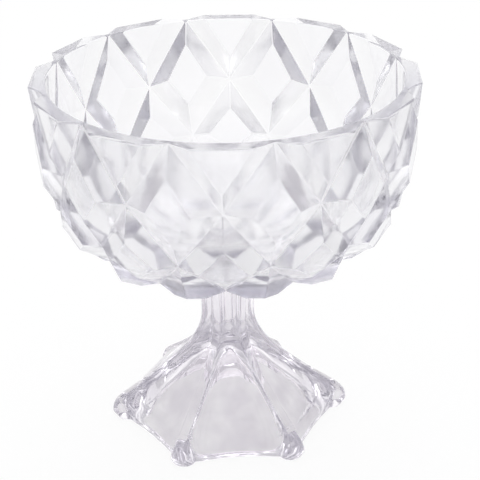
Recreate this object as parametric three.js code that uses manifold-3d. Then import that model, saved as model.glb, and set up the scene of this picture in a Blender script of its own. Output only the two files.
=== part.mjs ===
// Footed fruit bowl in clear pressed glass.
// A bowl whose outside is a lattice of raised diamond tables between V grooves stands on a
// six-toed pedestal with a hollow underside. The two pressings are bonded face to face.
// Millimetres, +Z up, origin on the table under the middle of the bowl, front towards -Y.

import * as THREE from 'three';
import { mergeVertices } from 'three/addons/utils/BufferGeometryUtils.js';
import Module from 'manifold-3d';

const wasm = await Module();
wasm.setup();

// Bowl: lattice of grooves, radii and depths of their crossings measured from the rim plane
const bowlHeight = 106.3;          // rim to the ground seat under the bowl
const diamondsRound = 12;          // diamonds in each row
const rimCrossRadius = 96.6;       // grooves where they run out through the rim
const upperCrossRadius = 94.8;
const upperCrossDepth = 36.9;
const middleCrossRadius = 88.6;
const middleCrossDepth = 69.4;
const lowerCrossRadius = 68.6;
const lowerCrossDepth = 92.1;

// Bowl: each diamond is a flat table, raised over the plane of its crossings on four bevels
const rimTableTop = 8.6;           // relief at the rim
const rimTableFoot = 6.8;          // relief at the lower point
const upperTableTop = 7.6;
const upperTableFoot = 9.4;
const middleTableTop = 7.2;
const middleTableFoot = 11.0;
const lowerTableTop = 14.8;
const lowerTableFoot = 0.5;
const rimBevel = 7.4;              // groove to table edge, measured across the groove
const upperBevel = 9.2;            // the same along the upper two sides of a diamond
const lowerBevel = 11.0;           // and along its lower two

// Bowl: turned cavity
const wall = 3.0;                  // glass left behind the grooves
const floorThickness = 9.0;        // glass over the seat in the middle of the bowl
const floorEase = 14.0;            // how far the slope of the wall carries on into the floor
const floorFlat = 24.0;            // how far out from the middle the floor stays nearly level
const lipRound = 0.8;              // softened inner edge of the rim

// Bond between the two pressings
const bondThickness = 0.4;
const bondMargin = 1.0;            // adhesive held back from the edge of the stem top
const seatMargin = 1.0;            // seat under the bowl past the ribs of the stem

// Pedestal: ribs and flutes
const pedestalHeight = 98.5;       // table to the ground top of the stem
const footTurn = 5.7;              // degrees from the lattice of the bowl, as bonded
const footShift = 1.3;             // stem off the axis of the bowl, towards -X, as bonded
const toes = 6;
const stemTopRadius = 16.5;        // over the ribs at the bond
const stemRadius = 14.8;           // over the ribs at the narrowest place
const flareTop = 65.5;             // height where the stem starts to flare
const flareEase = 16.0;            // how far below that the ribs still run straight down
const flareElbowRadius = 29.5;     // point that the flare bends round
const flareElbowHeight = 36.0;
const toeTopRadius = 61.5;         // where rib turns into toe
const toeTopHeight = 14.0;
const toeRadius = 67.6;            // front of the toes
const toeFrontHeight = 4.0;        // where the front of a toe stands furthest out
const toeFootInset = 2.8;          // front of the toe drawn in at the table
const ribHalfWidth = 2.5;
const ribRound = 0.9;              // depth of the rounding over a rib
const ribProud = 0.8;              // rib past the corner of the flutes
const fluteDepth = 1.0;            // hollow of a flute at its middle
const toeHalfWidth = 6.2;
const toeRound = 5.5;              // depth of the rounding over the front of a toe
const toeReach = 6.5;              // toe past the corner of the skirt
const toeSpread = 18.0;            // height over which a rib widens into its toe

// Pedestal: hollow underside
const footWall = 9.5;              // glass of the skirt at the table
const hollowHeight = 41.5;
const hollowSpring = 12.0;         // height over which the hollow hardly narrows
const hollowCrown = 9.0;           // width over which its top is nearly flat
const hollowCorner = 1.05;         // reach of its rounded corners over its flats
const archLift = 1.8;              // skirt off the table midway between two toes
const archHalfSpan = 21.0;         // half the width of that low arch

// Fineness of the curved surfaces
const turnSteps = 60;
const wallSteps = 15;
const floorSteps = 8;
const stemSteps = 4;
const flareSteps = 12;
const toeSteps = 4;
const cornerSteps = 3;
const fluteSteps = 3;
const hollowSteps = 10;
const hollowSideSteps = 8;
const archSteps = 9;

const overcut = 1;                 // cutters run past the faces that they open
const seatHeight = pedestalHeight + bondThickness;
const rimHeight = seatHeight + bowlHeight;
const seatRadius = stemTopRadius + seatMargin;
const halfSector = Math.PI / toes;

// Closed geometry with merged vertices to a solid, and back
function toSolid(geometry) {
  const bare = geometry.clone();
  bare.deleteAttribute('normal');
  bare.deleteAttribute('uv');
  const merged = mergeVertices(bare, 1e-4);
  return new wasm.Manifold(new wasm.Mesh({
    numProp: 3,
    vertProperties: new Float32Array(merged.attributes.position.array),
    triVerts: new Uint32Array(merged.index.array),
  }));
}

function toGeometry(solid) {
  const mesh = solid.getMesh();
  const geometry = new THREE.BufferGeometry();
  geometry.setAttribute('position', new THREE.BufferAttribute(mesh.vertProperties, 3));
  geometry.setIndex(new THREE.BufferAttribute(mesh.triVerts, 1));
  geometry.computeVertexNormals();
  return geometry;
}

// Collects polygons, given anticlockwise as seen from outside, as triangles
class Skin {
  constructor() {
    this.positions = [];
  }

  polygon(...corners) {
    for (let i = 2; i < corners.length; i += 1) {
      for (const corner of [corners[0], corners[i - 1], corners[i]]) {
        this.positions.push(corner.x, corner.y, corner.z);
      }
    }
  }

  fan(centre, ring) {
    ring.forEach((corner, i) => this.polygon(centre, corner, ring[(i + 1) % ring.length]));
  }

  band(lower, upper) {
    lower.forEach((corner, i) => {
      const next = (i + 1) % lower.length;
      this.polygon(corner, lower[next], upper[next], upper[i]);
    });
  }

  // Closed loft through rings from the lowest to the highest
  loft(rings) {
    for (let i = 1; i < rings.length; i += 1) {
      this.band(rings[i - 1], rings[i]);
    }
    const top = rings[rings.length - 1];
    this.fan(new THREE.Vector3(0, 0, rings[0][0].z), [...rings[0]].reverse());
    this.fan(new THREE.Vector3(0, 0, top[0].z), top);
    return this;
  }

  solid() {
    const geometry = new THREE.BufferGeometry();
    geometry.setAttribute('position', new THREE.Float32BufferAttribute(this.positions, 3));
    return toSolid(geometry);
  }
}

// Point at a radius and height, its angle in radians from the front, anticlockwise from above
function around(radius, angle, height) {
  return new THREE.Vector3(radius * Math.sin(angle), -radius * Math.cos(angle), height);
}

function smooth(x) {
  const t = Math.min(Math.max(x, 0), 1);
  return t * t * (3 - 2 * t);
}

// Corner where three planes meet
function meet(a, b, c) {
  const bc = b.normal.clone().cross(c.normal);
  const ca = c.normal.clone().cross(a.normal);
  const ab = a.normal.clone().cross(b.normal);
  const volume = a.normal.dot(bc);
  return bc.multiplyScalar(-a.constant)
    .addScaledVector(ca, -b.constant)
    .addScaledVector(ab, -c.constant)
    .divideScalar(volume);
}

// Rows of groove crossings from the rim down to the seat, every other row half a step on
const crossings = [
  { radius: rimCrossRadius, depth: 0 },
  { radius: upperCrossRadius, depth: upperCrossDepth },
  { radius: middleCrossRadius, depth: middleCrossDepth },
  { radius: lowerCrossRadius, depth: lowerCrossDepth },
  { radius: seatRadius, depth: bowlHeight },
];
const halfStep = Math.PI / diamondsRound;

function crossing(row, step) {
  const { radius, depth } = crossings[row];
  return around(radius, step * halfStep, rimHeight - depth);
}

// Plane of a table, level across the diamond and set over its highest and lowest crossing
function tablePlane(top, bottom, base, step, reliefTop, reliefFoot) {
  const level = around(1, step * halfStep + Math.PI / 2, 0);
  const out = level.clone().cross(top.clone().sub(bottom)).normalize();
  const lift = out.dot(base.clone().sub(top));
  const high = top.clone().addScaledVector(out, lift + reliefTop);
  const low = bottom.clone().addScaledVector(out, lift + reliefFoot);
  const normal = level.cross(high.clone().sub(low)).normalize();
  return new THREE.Plane().setFromNormalAndCoplanarPoint(normal, high);
}

// Plane of a bevel, from a groove up to a table edge that lies the given width inside it
function bevelPlane(table, from, to, width) {
  const edge = table.projectPoint(from.clone().add(to).multiplyScalar(0.5), new THREE.Vector3());
  const inward = table.normal.clone().cross(to.clone().sub(from)).normalize();
  return new THREE.Plane().setFromCoplanarPoints(from, to, edge.addScaledVector(inward, width));
}

// Whole diamond: its table and four bevels
function addDiamond(skin, row, step, reliefTop, reliefFoot) {
  const top = crossing(row, step);
  const left = crossing(row + 1, step - 1);
  const bottom = crossing(row + 2, step);
  const right = crossing(row + 1, step + 1);
  const corners = [top, left, bottom, right];
  const base = new THREE.Vector3();
  corners.forEach((corner) => base.addScaledVector(corner, 1 / corners.length));
  const table = tablePlane(top, bottom, base, step, reliefTop, reliefFoot);
  const widths = [upperBevel, lowerBevel, lowerBevel, upperBevel];
  const bevels = corners.map((corner, i) => bevelPlane(table, corner, corners[(i + 1) % 4], widths[i]));
  const edges = corners.map((corner, i) => meet(table, bevels[(i + 3) % 4], bevels[i]));
  skin.polygon(...edges);
  skin.band(corners, edges);
}

// Half diamond under the rim: two bevels and a table that the rim cuts off
function addRimDiamond(skin, step) {
  const left = crossing(0, step - 1);
  const right = crossing(0, step + 1);
  const bottom = crossing(1, step);
  const top = left.clone().add(right).multiplyScalar(0.5);
  const rim = new THREE.Plane(new THREE.Vector3(0, 0, 1), -rimHeight);
  const table = tablePlane(top, bottom, top, step, rimTableTop, rimTableFoot);
  const leftBevel = bevelPlane(table, left, bottom, rimBevel);
  const rightBevel = bevelPlane(table, bottom, right, rimBevel);
  const leftEdge = meet(table, rim, leftBevel);
  const tip = meet(table, leftBevel, rightBevel);
  const rightEdge = meet(table, rightBevel, rim);
  skin.polygon(leftEdge, tip, rightEdge);
  skin.polygon(left, bottom, tip, leftEdge);
  skin.polygon(bottom, right, rightEdge, tip);
  return [left, leftEdge, rightEdge];
}

// Outside of the bowl as one solid blank, flat on the rim and on the seat
function latticeBlank() {
  const skin = new Skin();
  const rimRing = [];
  const seatRing = [];
  for (let i = 0; i < diamondsRound; i += 1) {
    const even = 2 * i;
    const odd = even + 1;
    rimRing.push(...addRimDiamond(skin, even));
    addDiamond(skin, 0, odd, upperTableTop, upperTableFoot);
    addDiamond(skin, 1, even, middleTableTop, middleTableFoot);
    addDiamond(skin, 2, odd, lowerTableTop, lowerTableFoot);
    skin.polygon(crossing(3, even), crossing(4, even - 1), crossing(4, odd));
    seatRing.unshift(crossing(4, odd));
  }
  skin.fan(new THREE.Vector3(0, 0, rimHeight), rimRing);
  skin.fan(new THREE.Vector3(0, 0, seatHeight), seatRing);
  return skin.solid();
}

// Cavity turned to a smooth curve, one wall inside the middles of the grooves
function cavity() {
  const lip = new THREE.Vector2(rimCrossRadius - wall, -lipRound);
  const behindGrooves = [0, 1, 2].map((row) => {
    const from = crossing(row, 0);
    const to = crossing(row + 1, 1);
    const middle = from.clone().add(to).multiplyScalar(0.5);
    const fall = crossings[row + 1].depth - crossings[row].depth;
    const draw = crossings[row].radius - crossings[row + 1].radius;
    const inward = new THREE.Vector2(-fall, draw).normalize();
    const groove = new THREE.Vector2(Math.hypot(middle.x, middle.y), middle.z - rimHeight);
    return groove.addScaledVector(inward, wall);
  });
  const side = new THREE.SplineCurve([lip, ...behindGrooves]);
  const end = behindGrooves[behindGrooves.length - 1];
  const floor = floorThickness - bowlHeight;
  const bottom = new THREE.CubicBezierCurve(
    end,
    side.getTangent(1).multiplyScalar(floorEase).add(end),
    new THREE.Vector2(floorFlat, floor),
    new THREE.Vector2(0, floor),
  );
  const outline = [
    new THREE.Vector2(0, overcut),
    new THREE.Vector2(lip.x + lipRound + overcut, overcut),
    ...side.getPoints(wallSteps),
    ...bottom.getPoints(floorSteps).slice(1),
  ];
  const geometry = new THREE.LatheGeometry(outline.reverse(), turnSteps);
  geometry.rotateX(Math.PI / 2);
  geometry.translate(0, 0, rimHeight);
  return toSolid(geometry);
}

// Ring of the pedestal at one height: rounded ribs or toes with hollow flutes between them
function pedestalRing(reach, height, inset = 0) {
  const low = smooth(1 - height / toeSpread);
  const half = THREE.MathUtils.lerp(ribHalfWidth, toeHalfWidth, low);
  const round = THREE.MathUtils.lerp(ribRound, toeRound, low);
  const proud = THREE.MathUtils.lerp(ribProud, toeReach, low);
  const hollow = fluteDepth * (1 - low);
  const flat = (reach - proud) * Math.cos(halfSector);
  const root = (flat - half * Math.sin(halfSector)) / Math.cos(halfSector);
  const side = [];
  for (let i = 1; i <= cornerSteps; i += 1) {
    const turn = (i / cornerSteps) * Math.PI / 2;
    side.push([reach - inset - round * (1 - Math.cos(turn)), half * Math.sin(turn)]);
  }
  const rootAlong = half * Math.cos(halfSector) - root * Math.sin(halfSector);
  for (let i = 0; i < fluteSteps; i += 1) {
    const along = rootAlong * (1 - i / fluteSteps);
    const out = flat - hollow * (1 - (along / rootAlong) ** 2);
    side.push([
      out * Math.cos(halfSector) - along * Math.sin(halfSector),
      out * Math.sin(halfSector) + along * Math.cos(halfSector),
    ]);
  }
  const valley = flat - hollow;
  const sector = [
    [valley * Math.cos(halfSector), -valley * Math.sin(halfSector)],
    ...side.map(([x, y]) => [x, -y]).reverse(),
    [reach - inset, 0],
    ...side,
  ];
  const ring = [];
  for (let toe = 0; toe < toes; toe += 1) {
    const turn = (2 * toe + 1) * halfSector;
    sector.forEach(([x, y]) => ring.push(around(Math.hypot(x, y), turn + Math.atan2(y, x), height)));
  }
  return ring;
}

// Reach of the ribs from the toes up: rounded toe, concave flare, nearly straight stem
function ribOutline() {
  const toeTop = new THREE.Vector2(toeTopRadius, toeTopHeight);
  const elbow = new THREE.Vector2(flareElbowRadius, flareElbowHeight);
  const slope = (elbow.y - toeTop.y) / (toeTop.x - elbow.x);
  const knuckle = new THREE.Vector2(toeRadius, toeTopHeight - slope * (toeRadius - toeTopRadius));
  const toe = new THREE.QuadraticBezierCurve(new THREE.Vector2(toeRadius, toeFrontHeight), knuckle, toeTop);
  const flare = new THREE.CubicBezierCurve(
    toeTop,
    elbow,
    new THREE.Vector2(stemRadius, flareTop - flareEase),
    new THREE.Vector2(stemRadius, flareTop),
  );
  const stem = new THREE.QuadraticBezierCurve(
    new THREE.Vector2(stemRadius, flareTop),
    new THREE.Vector2(stemRadius, (flareTop + pedestalHeight) / 2),
    new THREE.Vector2(stemTopRadius, pedestalHeight),
  );
  return [
    ...toe.getPoints(toeSteps),
    ...flare.getPoints(flareSteps).slice(1),
    ...stem.getPoints(stemSteps).slice(1),
  ];
}

// Six-sided hollow with rounded corners that opens the underside
function footHollow() {
  const mouth = (toeRadius - toeReach) * Math.cos(halfSector) - footWall;
  const curve = new THREE.CubicBezierCurve(
    new THREE.Vector2(mouth, 0),
    new THREE.Vector2(mouth, hollowSpring),
    new THREE.Vector2(hollowCrown, hollowHeight),
    new THREE.Vector2(0, hollowHeight),
  );
  const outline = curve.getPoints(hollowSteps).slice(0, -1);
  outline.unshift(new THREE.Vector2(mouth, -overcut));
  const rings = outline.map(({ x, y }) => {
    const ring = [];
    for (let i = 0; i < toes * hollowSideSteps; i += 1) {
      const along = (i % hollowSideSteps) / hollowSideSteps * 2 - 1;
      const reach = Math.min(1 / Math.cos(along * halfSector), hollowCorner);
      ring.push(around(x * reach, 2 * halfSector * i / hollowSideSteps - halfSector, y));
    }
    return ring;
  });
  return new Skin().loft(rings).solid();
}

// Low arches under the sides of the skirt, which leave only the toes on the table
function skirtArches() {
  const radius = (archHalfSpan ** 2 + archLift ** 2) / (2 * archLift);
  const opening = Math.asin(archHalfSpan / radius);
  const upright = Math.PI / 2;
  const arc = new THREE.ArcCurve(0, archLift - radius, radius, upright - opening, upright + opening);
  const profile = new THREE.Shape([
    ...arc.getPoints(archSteps),
    new THREE.Vector2(-archHalfSpan, -overcut),
    new THREE.Vector2(archHalfSpan, -overcut),
  ]);
  const cutters = [];
  for (let i = 0; i < toes; i += 1) {
    const geometry = new THREE.ExtrudeGeometry(profile, { depth: toeRadius, bevelEnabled: false });
    geometry.rotateX(Math.PI / 2);
    geometry.rotateZ(2 * halfSector * i);
    cutters.push(toSolid(geometry));
  }
  return wasm.Manifold.union(cutters);
}

function makeGlass(name, solid) {
  const material = new THREE.MeshStandardMaterial({
    color: 0xecebf1,
    roughness: 0.03,
    metalness: 0,
    transparent: true,
    opacity: 0.45,
    flatShading: true,
  });
  const mesh = new THREE.Mesh(toGeometry(solid), material);
  mesh.name = name;
  return mesh;
}

function makeBowl() {
  return makeGlass('bowl', latticeBlank().subtract(cavity()));
}

function makePedestal() {
  const foot = pedestalRing(toeRadius, 0, toeFootInset);
  const rings = ribOutline().map(({ x, y }) => pedestalRing(x, y));
  const blank = new Skin().loft([foot, ...rings]).solid();
  const mesh = makeGlass('pedestal_foot', blank.subtract(footHollow()).subtract(skirtArches()));
  mesh.rotation.z = THREE.MathUtils.degToRad(footTurn);
  mesh.position.x = -footShift;
  return mesh;
}

// Clear film of cured adhesive between the stem top and the seat under the bowl
function makeBondFilm() {
  const flat = (stemTopRadius - ribProud) * Math.cos(halfSector) - fluteDepth;
  const radius = flat - bondMargin;
  const geometry = new THREE.CylinderGeometry(radius, radius, bondThickness, turnSteps);
  geometry.rotateX(Math.PI / 2);
  geometry.translate(-footShift, 0, pedestalHeight + bondThickness / 2);
  const material = new THREE.MeshStandardMaterial({
    color: 0xf4f4ee,
    roughness: 0.15,
    metalness: 0,
    transparent: true,
    opacity: 0.4,
  });
  const mesh = new THREE.Mesh(geometry, material);
  mesh.name = 'bond_film';
  return mesh;
}

const footedBowl = new THREE.Group();
footedBowl.add(makePedestal(), makeBondFilm(), makeBowl());

export default footedBowl;
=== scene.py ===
import math

import bmesh
import bpy
from mathutils import Matrix, Vector
from mathutils.geometry import interpolate_bezier


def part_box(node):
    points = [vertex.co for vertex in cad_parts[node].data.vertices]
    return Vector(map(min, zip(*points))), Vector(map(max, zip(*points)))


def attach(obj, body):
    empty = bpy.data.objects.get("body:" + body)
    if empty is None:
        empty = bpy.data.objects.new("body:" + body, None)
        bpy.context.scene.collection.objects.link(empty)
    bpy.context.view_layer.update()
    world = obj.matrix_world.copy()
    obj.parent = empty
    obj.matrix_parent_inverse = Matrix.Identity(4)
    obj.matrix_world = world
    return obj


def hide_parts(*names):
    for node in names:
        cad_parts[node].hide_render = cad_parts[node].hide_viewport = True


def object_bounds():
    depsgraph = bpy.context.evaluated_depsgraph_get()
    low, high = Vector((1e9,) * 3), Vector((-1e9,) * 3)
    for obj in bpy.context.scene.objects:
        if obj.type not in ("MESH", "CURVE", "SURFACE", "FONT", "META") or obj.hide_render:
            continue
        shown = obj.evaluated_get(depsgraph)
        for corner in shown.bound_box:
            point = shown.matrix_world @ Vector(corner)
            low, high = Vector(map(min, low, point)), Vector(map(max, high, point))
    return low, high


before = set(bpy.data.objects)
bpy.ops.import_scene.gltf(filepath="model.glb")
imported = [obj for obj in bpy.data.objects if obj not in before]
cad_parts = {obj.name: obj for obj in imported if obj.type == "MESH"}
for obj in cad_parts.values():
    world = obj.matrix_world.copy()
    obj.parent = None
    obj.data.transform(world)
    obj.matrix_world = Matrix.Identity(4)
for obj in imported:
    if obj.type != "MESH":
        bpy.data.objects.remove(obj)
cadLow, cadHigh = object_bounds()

mm = 0.001


def smoothStep(x):
    t = min(max(x, 0), 1)
    return t * t * (3 - 2 * t)


def lerp(a, b, t):
    return a + (b - a) * t


# Camera, solved from the photograph
view = {
    "place": Vector((21.19, -760.41, 480.36)) * mm,
    "aim": Vector((6.217, 0.173, 108.5)) * mm,
    "lens": 115.336,
    "sensor": 36.0,
    "roll": math.radians(-0.9958),
}


def makeCamera():
    data = bpy.data.cameras.new("camera")
    data.lens = view["lens"]
    data.sensor_width = view["sensor"]
    data.clip_start = 0.01
    data.clip_end = 50
    camera = bpy.data.objects.new("camera", data)
    bpy.context.scene.collection.objects.link(camera)
    look = (view["aim"] - view["place"]).to_track_quat("-Z", "Y").to_matrix().to_4x4()
    roll = Matrix.Rotation(view["roll"], 4, "Z")
    camera.matrix_world = Matrix.Translation(view["place"]) @ look @ roll
    bpy.context.scene.camera = camera
    print("camera: lens", view["lens"])


def finishPiece(bm, name, node, material):
    bmesh.ops.remove_doubles(bm, verts=bm.verts[:], dist=0.001 * mm)
    bmesh.ops.recalc_face_normals(bm, faces=bm.faces[:])
    for face in bm.faces:
        face.smooth = True
    mesh = bpy.data.meshes.new(name)
    bm.to_mesh(mesh)
    bm.free()
    mesh.materials.append(material)
    piece = bpy.data.objects.new(name, mesh)
    bpy.context.scene.collection.objects.link(piece)
    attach(piece, "root")
    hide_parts(node)
    return piece


# Fire polish: the long waves and the fine orange peel that hot glass keeps from the mould
def makePolishGroup():
    group = bpy.data.node_groups.new("fire polish", "ShaderNodeTree")
    for socket, kind, value in (
        ("Tint", "NodeSocketColor", (1, 1, 1, 1)),
        ("Shade", "NodeSocketColor", (1, 1, 1, 1)),
        ("Gloss", "NodeSocketFloat", 0.1),
        ("Haze", "NodeSocketFloat", 0.1),
        ("Cloud Scale", "NodeSocketFloat", 22.0),
        ("Wave Scale", "NodeSocketFloat", 60.0),
        ("Wave Depth", "NodeSocketFloat", 0.0001),
        ("Peel Scale", "NodeSocketFloat", 400.0),
        ("Peel Depth", "NodeSocketFloat", 0.00001),
    ):
        made = group.interface.new_socket(socket, in_out="INPUT", socket_type=kind)
        made.default_value = value
    group.interface.new_socket("Color", in_out="OUTPUT", socket_type="NodeSocketColor")
    group.interface.new_socket("Roughness", in_out="OUTPUT", socket_type="NodeSocketFloat")
    group.interface.new_socket("Normal", in_out="OUTPUT", socket_type="NodeSocketVector")
    nodes = group.nodes
    link = group.links.new
    given = nodes.new("NodeGroupInput")
    result = nodes.new("NodeGroupOutput")
    place = nodes.new("ShaderNodeTexCoord")

    # broad clouds, from clear to a little hazy and from tint to shade
    cloud = nodes.new("ShaderNodeTexNoise")
    link(given.outputs["Cloud Scale"], cloud.inputs["Scale"])
    cloud.inputs["Detail"].default_value = 2.0
    link(place.outputs["Object"], cloud.inputs["Vector"])
    spread = nodes.new("ShaderNodeMapRange")
    spread.inputs["From Min"].default_value = 0.35
    spread.inputs["From Max"].default_value = 0.65
    link(cloud.outputs["Fac"], spread.inputs["Value"])
    tone = nodes.new("ShaderNodeMix")
    tone.data_type = "RGBA"
    link(spread.outputs["Result"], tone.inputs["Factor"])
    link(given.outputs["Tint"], tone.inputs["A"])
    link(given.outputs["Shade"], tone.inputs["B"])
    link(tone.outputs["Result"], result.inputs["Color"])
    haze = nodes.new("ShaderNodeMix")
    link(spread.outputs["Result"], haze.inputs["Factor"])
    link(given.outputs["Gloss"], haze.inputs["A"])
    link(given.outputs["Haze"], haze.inputs["B"])
    link(haze.outputs["Result"], result.inputs["Roughness"])

    # waves, then peel on top of them
    last = None
    for kind in ("Wave", "Peel"):
        noise = nodes.new("ShaderNodeTexNoise")
        noise.inputs["Detail"].default_value = 1.0
        link(place.outputs["Object"], noise.inputs["Vector"])
        link(given.outputs[kind + " Scale"], noise.inputs["Scale"])
        bump = nodes.new("ShaderNodeBump")
        bump.inputs["Strength"].default_value = 1.0
        link(noise.outputs["Fac"], bump.inputs["Height"])
        link(given.outputs[kind + " Depth"], bump.inputs["Distance"])
        if last:
            link(last.outputs["Normal"], bump.inputs["Normal"])
        last = bump
    link(last.outputs["Normal"], result.inputs["Normal"])
    return group


def makeGlass(name, look):
    material = bpy.data.materials.new(name)
    material.use_nodes = True
    nodes = material.node_tree.nodes
    link = material.node_tree.links.new
    shader = nodes["Principled BSDF"]
    shader.inputs["IOR"].default_value = look["ior"]
    shader.inputs["Transmission Weight"].default_value = 1.0
    polish = nodes.new("ShaderNodeGroup")
    polish.node_tree = polishGroup
    polish.inputs["Tint"].default_value = (*look["tint"], 1)
    polish.inputs["Shade"].default_value = (*look["shade"], 1)
    polish.inputs["Gloss"].default_value = look["gloss"]
    polish.inputs["Haze"].default_value = look["haze"]
    polish.inputs["Cloud Scale"].default_value = look["cloudScale"]
    polish.inputs["Wave Scale"].default_value = look["waveScale"]
    polish.inputs["Wave Depth"].default_value = look["waveDepth"]
    polish.inputs["Peel Scale"].default_value = look["peelScale"]
    polish.inputs["Peel Depth"].default_value = look["peelDepth"]
    link(polish.outputs["Color"], shader.inputs["Base Color"])
    link(polish.outputs["Roughness"], shader.inputs["Roughness"])
    link(polish.outputs["Normal"], shader.inputs["Normal"])
    body = nodes.new("ShaderNodeVolumeAbsorption")
    body.inputs["Color"].default_value = (*look["body"], 1)
    body.inputs["Density"].default_value = look["depth"]
    link(body.outputs["Volume"], nodes["Material Output"].inputs["Volume"])
    return material


polishGroup = makePolishGroup()


bowlLook = {
    "mergeGap": 0.002 * mm,               # loose corners of the solid closer than this are one
    "flat": math.radians(0.5),            # triangles that share a facet
    "facetRound": 0.5 * mm,               # facet edges and grooves, as softened by the fire polish
    "rimRound": 1.1 * mm,                 # outer edge of the rim
    "roundSegments": 3,
    "upFacing": 0.9,                      # faces that look up more than this are inside, or the rim
    "axisFacing": -0.05,                  # and so are faces that look towards the axis
    "rimBand": 0.1 * mm,                  # corners nearer to the rim plane than this are its own
    "lipSteps": 5,
    "insideSteps": 240,
    "wallCuts": 6,
    "floorEase": 0.45,                    # how far the slope of the wall carries into the floor
    "floorFlat": 0.4,                     # how far out from the middle the floor stays level
    "floorPoints": 14,
    "poleRadius": 0.01 * mm,              # loose corners in the middle of the floor
    "poleGap": 0.05 * mm,
    "seatDip": 0.02 * mm,                 # the seat dips into the bond, so no air is seen between them
}


def radial(point):
    return Vector((point.x, point.y, 0)).normalized()


def smoothProfile(points, cuts):
    # points along a curve through the given ones, with even slopes through each
    ghosts = [points[0] * 2 - points[1], *points, points[-1] * 2 - points[-2]]
    fine = []
    for a, b, c, d in zip(ghosts, ghosts[1:], ghosts[2:], ghosts[3:]):
        fine += interpolate_bezier(b, b + (c - a) / 6, c - (d - b) / 6, c, cuts + 1)[:-1]
    return [*fine, points[-1]]


def makeBowl(material):
    bm = bmesh.new()
    bm.from_mesh(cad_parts["bowl"].data)
    bmesh.ops.remove_doubles(bm, verts=bm.verts[:], dist=bowlLook["mergeGap"])
    rim = max(v.co.z for v in bm.verts)
    seat = min(v.co.z for v in bm.verts)

    # the cavity of the solid gives the profile of the inside, then makes way for a finer one
    inside = []
    for face in bm.faces:
        outward = face.normal.dot(radial(face.calc_center_median()))
        if face.normal.z > bowlLook["upFacing"] or outward < bowlLook["axisFacing"]:
            inside.append(face)
    levels = {}
    for face in inside:
        for v in face.verts:
            if v.co.z < rim - bowlLook["rimBand"]:
                levels[round(v.co.z / mm, 3)] = v.co.xy.length
    wall = [Vector((radius, 0, z * mm)) for z, radius in sorted(levels.items(), reverse=True)]
    bmesh.ops.delete(bm, geom=inside, context="FACES")
    bmesh.ops.dissolve_limit(bm, angle_limit=bowlLook["flat"], verts=bm.verts[:], edges=bm.edges[:])
    weights = bm.edges.layers.float.new("bevel_weight_edge")
    outline = [e for e in bm.edges if e.is_boundary]
    print("bowl: facets", len(bm.faces), "rim edges", len(outline), "wall levels", len(wall))

    for v in bm.verts:
        if v.co.z < seat + bowlLook["seatDip"]:
            v.co.z -= bowlLook["seatDip"]

    # edges that the bevel modifier rounds
    for e in bm.edges:
        e[weights] = 1.0 if e.is_boundary else bowlLook["facetRound"] / bowlLook["rimRound"]

    # smooth round inside, from the lip to the middle of the floor
    lip = wall[0].x
    lipRound = rim - wall[0].z
    floorZ = wall[-1].z
    curve = smoothProfile(wall[:-1], bowlLook["wallCuts"])
    last = curve[-1]
    slope = (curve[-1] - curve[-2]).normalized()
    ease = last + slope * last.x * bowlLook["floorEase"]
    level = Vector((last.x * bowlLook["floorFlat"], 0, floorZ))
    bottom = interpolate_bezier(last, ease, level, Vector((0, 0, floorZ)), bowlLook["floorPoints"])
    arc = []
    for i in range(bowlLook["lipSteps"]):
        turn = i / bowlLook["lipSteps"] * math.pi / 2
        out = lip + lipRound * (1 - math.sin(turn))
        arc.append(Vector((out, 0, rim - lipRound * (1 - math.cos(turn)))))
    profile = arc + curve + bottom[1:]
    verts = [bm.verts.new(p) for p in profile]
    edges = [bm.edges.new(pair) for pair in zip(verts, verts[1:])]
    bmesh.ops.spin(
        bm, geom=verts + edges, cent=(0, 0, 0), axis=(0, 0, 1), angle=math.tau,
        steps=bowlLook["insideSteps"], use_merge=True,
    )
    pole = [v for v in bm.verts if v.co.xy.length < bowlLook["poleRadius"]]
    bmesh.ops.remove_doubles(bm, verts=pole, dist=bowlLook["poleGap"])

    # flat top of the rim between the two outlines
    lipRing = [e for e in bm.edges if e.is_boundary and e not in set(outline)]
    bmesh.ops.triangle_fill(bm, use_beauty=True, edges=outline + lipRing, normal=(0, 0, 1))
    openEdges = sum(e.is_boundary for e in bm.edges)
    print("bowl: faces", len(bm.faces), "open edges", openEdges)

    piece = finishPiece(bm, "bowl_glass", "bowl", material)
    bevel = piece.modifiers.new("fire polish", "BEVEL")
    bevel.limit_method = "WEIGHT"
    bevel.width = bowlLook["rimRound"]
    bevel.segments = bowlLook["roundSegments"]
    bevel.profile = 0.5
    bevel.use_clamp_overlap = True
    bevel.harden_normals = False
    weighted = piece.modifiers.new("flat facets", "WEIGHTED_NORMAL")
    weighted.mode = "FACE_AREA"
    weighted.weight = 50
    weighted.keep_sharp = False
    return piece


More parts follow.
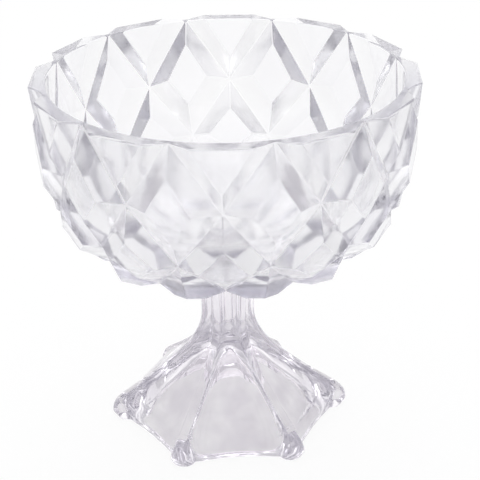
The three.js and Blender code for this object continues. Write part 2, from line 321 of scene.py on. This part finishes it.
footLook = {
    "toes": 6,
    "turn": math.radians(5.7),
    "shift": 1.3 * mm,
    "stemTopReach": 16.5 * mm,
    "stemReach": 14.8 * mm,
    "flareTop": 65.5 * mm,
    "flareEase": 16.0 * mm,
    "elbowReach": 29.5 * mm,
    "elbowHeight": 36.0 * mm,
    "toeTopReach": 61.5 * mm,
    "toeTopHeight": 14.0 * mm,
    "toeReach": 67.6 * mm,
    "toeFrontHeight": 4.0 * mm,
    "toeFootInset": 2.8 * mm,
    "ribHalf": 2.5 * mm,
    "ribRound": 0.9 * mm,
    "ribProud": 0.8 * mm,
    "fluteDepth": 1.0 * mm,
    "toeHalf": 6.2 * mm,
    "toeRound": 5.5 * mm,
    "toeProud": 6.5 * mm,
    "toeSpread": 18.0 * mm,
    "skirtWall": 9.5 * mm,
    "hollowHeight": 41.5 * mm,
    "hollowSpring": 12.0 * mm,
    "hollowCrown": 9.0 * mm,
    "hollowCorner": 1.05,
    "archLift": 1.8 * mm,
    "archHalfSpan": 21.0 * mm,
    "edge": 0.7 * mm,
    "topDip": 0.02 * mm,                  # the top of the stem reaches as little into the bond
    "tipSteps": 5,
    "fluteSteps": 7,
    "toePoints": 9,
    "flarePoints": 34,
    "stemPoints": 12,
    "domePoints": 40,
    "padShares": (0.08, 0.3, 0.6, 0.92, 1.0),   # rings from the edge of the skirt in to the hollow
    "cornerEase": 0.02,                   # how gently the flats of the hollow turn into its corners
}


def footSection(reach, height, inset=0):
    # outline of one sector at a height, from valley to valley over the rib
    look = footLook
    half = math.pi / look["toes"]
    low = smoothStep(1 - height / look["toeSpread"])
    width = lerp(look["ribHalf"], look["toeHalf"], low)
    crown = lerp(look["ribRound"], look["toeRound"], low)
    proud = lerp(look["ribProud"], look["toeProud"], low)
    hollow = look["fluteDepth"] * (1 - low)
    flat = (reach - proud) * math.cos(half)
    root = (flat - width * math.sin(half)) / math.cos(half)
    side = []
    for i in range(1, look["tipSteps"] + 1):
        turn = i / look["tipSteps"] * math.pi / 2
        side.append(Vector((reach - inset - crown * (1 - math.cos(turn)), width * math.sin(turn))))
    rootAlong = width * math.cos(half) - root * math.sin(half)
    for i in range(look["fluteSteps"]):
        along = rootAlong * (1 - i / look["fluteSteps"])
        out = flat - hollow * (1 - (along / rootAlong) ** 2)
        side.append(Vector((
            out * math.cos(half) - along * math.sin(half),
            out * math.sin(half) + along * math.cos(half),
        )))
    valley = (flat - hollow) * Vector((math.cos(half), -math.sin(half)))
    return [valley, *(Vector((p.x, -p.y)) for p in reversed(side)), Vector((reach - inset, 0)), *side]


def footRing(section, height):
    # the section turned round to every toe, angles counted from the front
    look = footLook
    ring = []
    for toe in range(look["toes"]):
        turn = Matrix.Rotation((2 * toe + 1) * math.pi / look["toes"] - math.pi / 2, 2)
        for p in section:
            q = turn @ p
            ring.append(Vector((q.x, q.y, height)))
    return ring


def bendRound(start, corner, end, count):
    # curve that heads for the corner from both ends
    return interpolate_bezier(start, start.lerp(corner, 2 / 3), end.lerp(corner, 2 / 3), end, count)


def ribOutline():
    look = footLook
    toeTop = Vector((look["toeTopReach"], look["toeTopHeight"]))
    elbow = Vector((look["elbowReach"], look["elbowHeight"]))
    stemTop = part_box("pedestal_foot")[1].z + look["topDip"]
    slope = (elbow.y - toeTop.y) / (toeTop.x - elbow.x)
    knuckle = Vector((look["toeReach"], toeTop.y - slope * (look["toeReach"] - toeTop.x)))
    front = Vector((look["toeReach"], look["toeFrontHeight"]))
    toe = bendRound(front, knuckle, toeTop, look["toePoints"])
    stemFoot = Vector((look["stemReach"], look["flareTop"]))
    ease = Vector((look["stemReach"], look["flareTop"] - look["flareEase"]))
    flare = interpolate_bezier(toeTop, elbow, ease, stemFoot, look["flarePoints"])
    middle = Vector((look["stemReach"], (look["flareTop"] + stemTop) / 2))
    top = Vector((look["stemTopReach"], stemTop))
    stem = bendRound(stemFoot, middle, top, look["stemPoints"])
    return toe + flare[1:] + stem[1:]


def makePedestal(material):
    look = footLook
    half = math.pi / look["toes"]
    bm = bmesh.new()
    rings = [footRing(footSection(p.x, p.y), p.y) for p in ribOutline()]

    def fromSideMiddle(point):
        # angle from the front, and from the middle of the nearest side
        angle = math.atan2(point.x, -point.y)
        return angle, (angle + half) % (2 * half) - half

    def padHeight(point):
        # low arch between two toes
        across = point.xy.length * math.sin(fromSideMiddle(point)[1])
        return look["archLift"] * max(1 - (across / look["archHalfSpan"]) ** 2, 0)

    # foot of the toes and edge of the skirt
    outer = footRing(footSection(look["toeReach"], 0, look["toeFootInset"]), 0)
    edgeRing = [p.copy() for p in outer]
    for p in edgeRing:
        p.z = padHeight(p)
    lowRing = []
    for p, q in zip(edgeRing, rings[0]):
        lowRing.append(p.lerp(q, look["edge"] / max((p - q).length, look["edge"])))
    mouth = (look["toeReach"] - look["toeProud"]) * math.cos(half) - look["skirtWall"]

    def hollowPoint(point, reach, height):
        angle, along = fromSideMiddle(point)
        most = look["hollowCorner"]
        blend = look["cornerEase"]
        corner = 1 / math.cos(along)
        r = reach * (most - blend * math.log(1 + math.exp((most - corner) / blend)))
        return Vector((r * math.sin(angle), -r * math.cos(angle), height))

    under = []
    mouthRing = [hollowPoint(p, mouth, 0) for p in outer]
    for share in look["padShares"]:
        ring = [p.lerp(q, share) for p, q in zip(outer, mouthRing)]
        for p in ring:
            p.z = padHeight(p)
        under.append(ring)
    dome = interpolate_bezier(
        Vector((mouth, 0)), Vector((mouth, look["hollowSpring"])),
        Vector((look["hollowCrown"], look["hollowHeight"])), Vector((0, look["hollowHeight"])),
        look["domePoints"],
    )
    for p in dome[:-1]:
        if p.y > look["archLift"] + look["edge"]:
            under.append([hollowPoint(q, p.x, p.y) for q in outer])

    allRings = [*reversed(under), edgeRing, lowRing, *rings]
    bmesh.ops.create_circle(bm, cap_ends=False, segments=len(outer), radius=mouth)
    station = bm.verts.layers.int.new("station")
    bm.verts.ensure_lookup_table()
    for i, v in enumerate(bm.verts):
        v[station] = i
        v.co = allRings[0][i]
    loop = bm.edges[:]
    ends = [loop]
    for ring in allRings[1:]:
        grown = bmesh.ops.extrude_edge_only(bm, edges=loop)["geom"]
        loop = [g for g in grown if isinstance(g, bmesh.types.BMEdge)]
        for v in grown:
            if isinstance(v, bmesh.types.BMVert):
                v.co = ring[v[station]]
    ends.append(loop)
    for loop in ends:
        bmesh.ops.contextual_create(bm, geom=loop)
    print("pedestal: rings", len(allRings), "corners in each", len(outer))
    turned = Matrix.Rotation(look["turn"], 3, "Z")
    bmesh.ops.rotate(bm, verts=bm.verts[:], cent=(0, 0, 0), matrix=turned)
    bmesh.ops.translate(bm, verts=bm.verts[:], vec=(-look["shift"], 0, 0))
    return finishPiece(bm, "pedestal_glass", "pedestal_foot", material)


bowlGlass = {
    "ior": 1.52,
    "tint": (0.995, 0.995, 0.997),
    "shade": (0.985, 0.984, 0.99),
    "body": (0.62, 0.60, 0.70),           # colour that thick glass turns to
    "depth": 8.0,                         # and how soon, per metre
    "gloss": 0.12,
    "haze": 0.19,
    "cloudScale": 22.0,
    "waveScale": 55.0,
    "waveDepth": 0.4 * mm,
    "peelScale": 420.0,
    "peelDepth": 0.001 * mm,
}
footGlass = {
    "ior": 1.52,
    "tint": (1.0, 0.985, 1.0),
    "shade": (0.85, 0.82, 0.865),
    "body": (0.62, 0.60, 0.68),
    "depth": 7.0,
    "gloss": 0.03,
    "haze": 0.06,
    "cloudScale": 65.0,
    "waveScale": 65.0,
    "waveDepth": 0.9 * mm,
    "peelScale": 420.0,
    "peelDepth": 0.008 * mm,
}
bondAdhesive = {
    "ior": 1.50,
    "tint": (0.96, 0.96, 0.95),
    "shade": (0.93, 0.93, 0.91),
    "body": (0.8, 0.8, 0.7),
    "depth": 10.0,
    "gloss": 0.04,
    "haze": 0.1,
    "cloudScale": 90.0,
    "waveScale": 200.0,
    "waveDepth": 0.02 * mm,
    "peelScale": 900.0,
    "peelDepth": 0.004 * mm,
}

makeCamera()
makeBowl(makeGlass("bowl_glass", bowlGlass))
makePedestal(makeGlass("foot_glass", footGlass))
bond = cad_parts["bond_film"]
bond.data.materials.clear()
bond.data.materials.append(makeGlass("clear_adhesive", bondAdhesive))
print("bond: adhesive on the film of the solid")

# Stage: pale paper floor with a painted white glow that grows away from the bowl, grey room that is
# white above and behind, softbox overhead
stageLook = {
    "floorSize": 6.0,
    "floorGap": 0.2 * mm,
    "paper": (0.89, 0.89, 0.895),
    "paperRough": 0.9,
    "paperShine": 0.1,
    "whiteEye": 0.93,                     # share of the paper near the bowl that glows white to the eye; the rest shows its lit colour and real shadow
    "whiteGlass": 0.62,                   # and in the glass; all of it glows further off, a painted falloff of light that leaves the floor near the bowl darker
    "paintedFalloffNear": 0.25,                    # metres from the middle, where the painted glow starts to grow
    "paintedFalloffFar": 0.9,
    "roomMiddle": (1.15, 1.15, 1.15),
    "roomSide": (0.69, 0.69, 0.71),
    "roomAhead": 0.6,                     # share of the middle towards the viewer
    "aheadFade": (-0.5, 0.1),             # fades run over directions, from none to all
    "bandFade": (0.6, 0.2),
    "behindFade": (0.4, 0.75),
    "lowFade": (0.45, 0.2),
    "boxHeight": 1.3,
    "boxBack": 0.75,
    "boxWide": 0.7,
    "boxLong": 1.5,
    "boxPower": 7.5,
    "bounces": 24,
    "glossyBounces": 12,
}


def makeStage():
    look = stageLook
    bm = bmesh.new()
    bmesh.ops.create_grid(bm, x_segments=1, y_segments=1, size=look["floorSize"])
    mesh = bpy.data.meshes.new("floor")
    bm.to_mesh(mesh)
    bm.free()
    floor = bpy.data.objects.new("floor", mesh)
    floor.location.z = cadLow.z - look["floorGap"]
    bpy.context.scene.collection.objects.link(floor)
    material = bpy.data.materials.new("floor_paper")
    material.use_nodes = True
    nodes = material.node_tree.nodes
    link = material.node_tree.links.new
    paper = nodes["Principled BSDF"]
    paper.inputs["Roughness"].default_value = look["paperRough"]
    paper.inputs["Specular IOR Level"].default_value = look["paperShine"]
    paper.inputs["Base Color"].default_value = (*look["paper"], 1)
    place = nodes.new("ShaderNodeTexCoord")
    white = nodes.new("ShaderNodeEmission")
    path = nodes.new("ShaderNodeLightPath")
    glass = nodes.new("ShaderNodeMath")
    glass.operation = "MAXIMUM"
    link(path.outputs["Is Glossy Ray"], glass.inputs[0])
    link(path.outputs["Is Transmission Ray"], glass.inputs[1])
    away = nodes.new("ShaderNodeVectorMath")
    away.operation = "LENGTH"
    link(place.outputs["Object"], away.inputs[0])

    # painted light and shade: the paper's white glow grows from near the bowl to further off, so the
    # floor near the bowl looks darker, a painted broad shadow on top of its real one
    def shareFor(ray, near):
        far = nodes.new("ShaderNodeMapRange")
        far.interpolation_type = "SMOOTHSTEP"
        far.inputs["From Min"].default_value = look["paintedFalloffNear"]
        far.inputs["From Max"].default_value = look["paintedFalloffFar"]
        far.inputs["To Min"].default_value = near
        far.inputs["To Max"].default_value = 1.0
        link(away.outputs["Value"], far.inputs["Value"])
        share = nodes.new("ShaderNodeMath")
        share.operation = "MULTIPLY"
        link(ray, share.inputs[0])
        link(far.outputs["Result"], share.inputs[1])
        return share.outputs["Value"]

    share = nodes.new("ShaderNodeMath")
    share.operation = "MAXIMUM"
    link(shareFor(path.outputs["Is Camera Ray"], look["whiteEye"]), share.inputs[0])
    link(shareFor(glass.outputs["Value"], look["whiteGlass"]), share.inputs[1])
    mix = nodes.new("ShaderNodeMixShader")
    link(share.outputs["Value"], mix.inputs["Fac"])
    link(paper.outputs["BSDF"], mix.inputs[1])
    link(white.outputs["Emission"], mix.inputs[2])
    link(mix.outputs["Shader"], nodes["Material Output"].inputs["Surface"])
    mesh.materials.append(material)

    # grey room, with a white band over the top to the back, a white back wall and a dimmer front
    world = bpy.data.worlds.new("studio")
    bpy.context.scene.world = world
    world.use_nodes = True
    nodes = world.node_tree.nodes
    link = world.node_tree.links.new
    place = nodes.new("ShaderNodeTexCoord")
    split = nodes.new("ShaderNodeSeparateXYZ")
    link(place.outputs["Generated"], split.inputs["Vector"])
    aside = nodes.new("ShaderNodeMath")
    aside.operation = "ABSOLUTE"
    link(split.outputs["X"], aside.inputs[0])

    def ramp(source, fade, least=0.0):
        node = nodes.new("ShaderNodeMapRange")
        node.interpolation_type = "SMOOTHSTEP"
        node.inputs["From Min"].default_value = fade[0]
        node.inputs["From Max"].default_value = fade[1]
        node.inputs["To Min"].default_value = least
        link(source, node.inputs["Value"])
        return node.outputs["Result"]

    def combine(operation, a, b):
        node = nodes.new("ShaderNodeMath")
        node.operation = operation
        link(a, node.inputs[0])
        link(b, node.inputs[1])
        return node.outputs["Value"]

    ahead = ramp(split.outputs["Y"], look["aheadFade"], look["roomAhead"])
    band = combine("MULTIPLY", ramp(aside.outputs["Value"], look["bandFade"]), ahead)
    behind = ramp(split.outputs["Y"], look["behindFade"])
    low = ramp(split.outputs["Z"], look["lowFade"])
    bright = combine("MAXIMUM", band, combine("MULTIPLY", behind, low))
    room = nodes.new("ShaderNodeMix")
    room.data_type = "RGBA"
    room.inputs["A"].default_value = (*look["roomSide"], 1)
    room.inputs["B"].default_value = (*look["roomMiddle"], 1)
    link(bright, room.inputs["Factor"])
    link(room.outputs["Result"], nodes["Background"].inputs["Color"])

    data = bpy.data.lights.new("softbox", "AREA")
    data.shape = "RECTANGLE"
    data.size = look["boxWide"]
    data.size_y = look["boxLong"]
    data.energy = look["boxPower"]
    softbox = bpy.data.objects.new("softbox", data)
    softbox.location = (0, look["boxBack"], look["boxHeight"])
    bpy.context.scene.collection.objects.link(softbox)
    print("stage: floor, room and softbox")


makeStage()

scene = bpy.context.scene
scene.view_settings.view_transform = "Standard"
scene.cycles.max_bounces = stageLook["bounces"]
scene.cycles.transmission_bounces = stageLook["bounces"]
scene.cycles.glossy_bounces = stageLook["glossyBounces"]
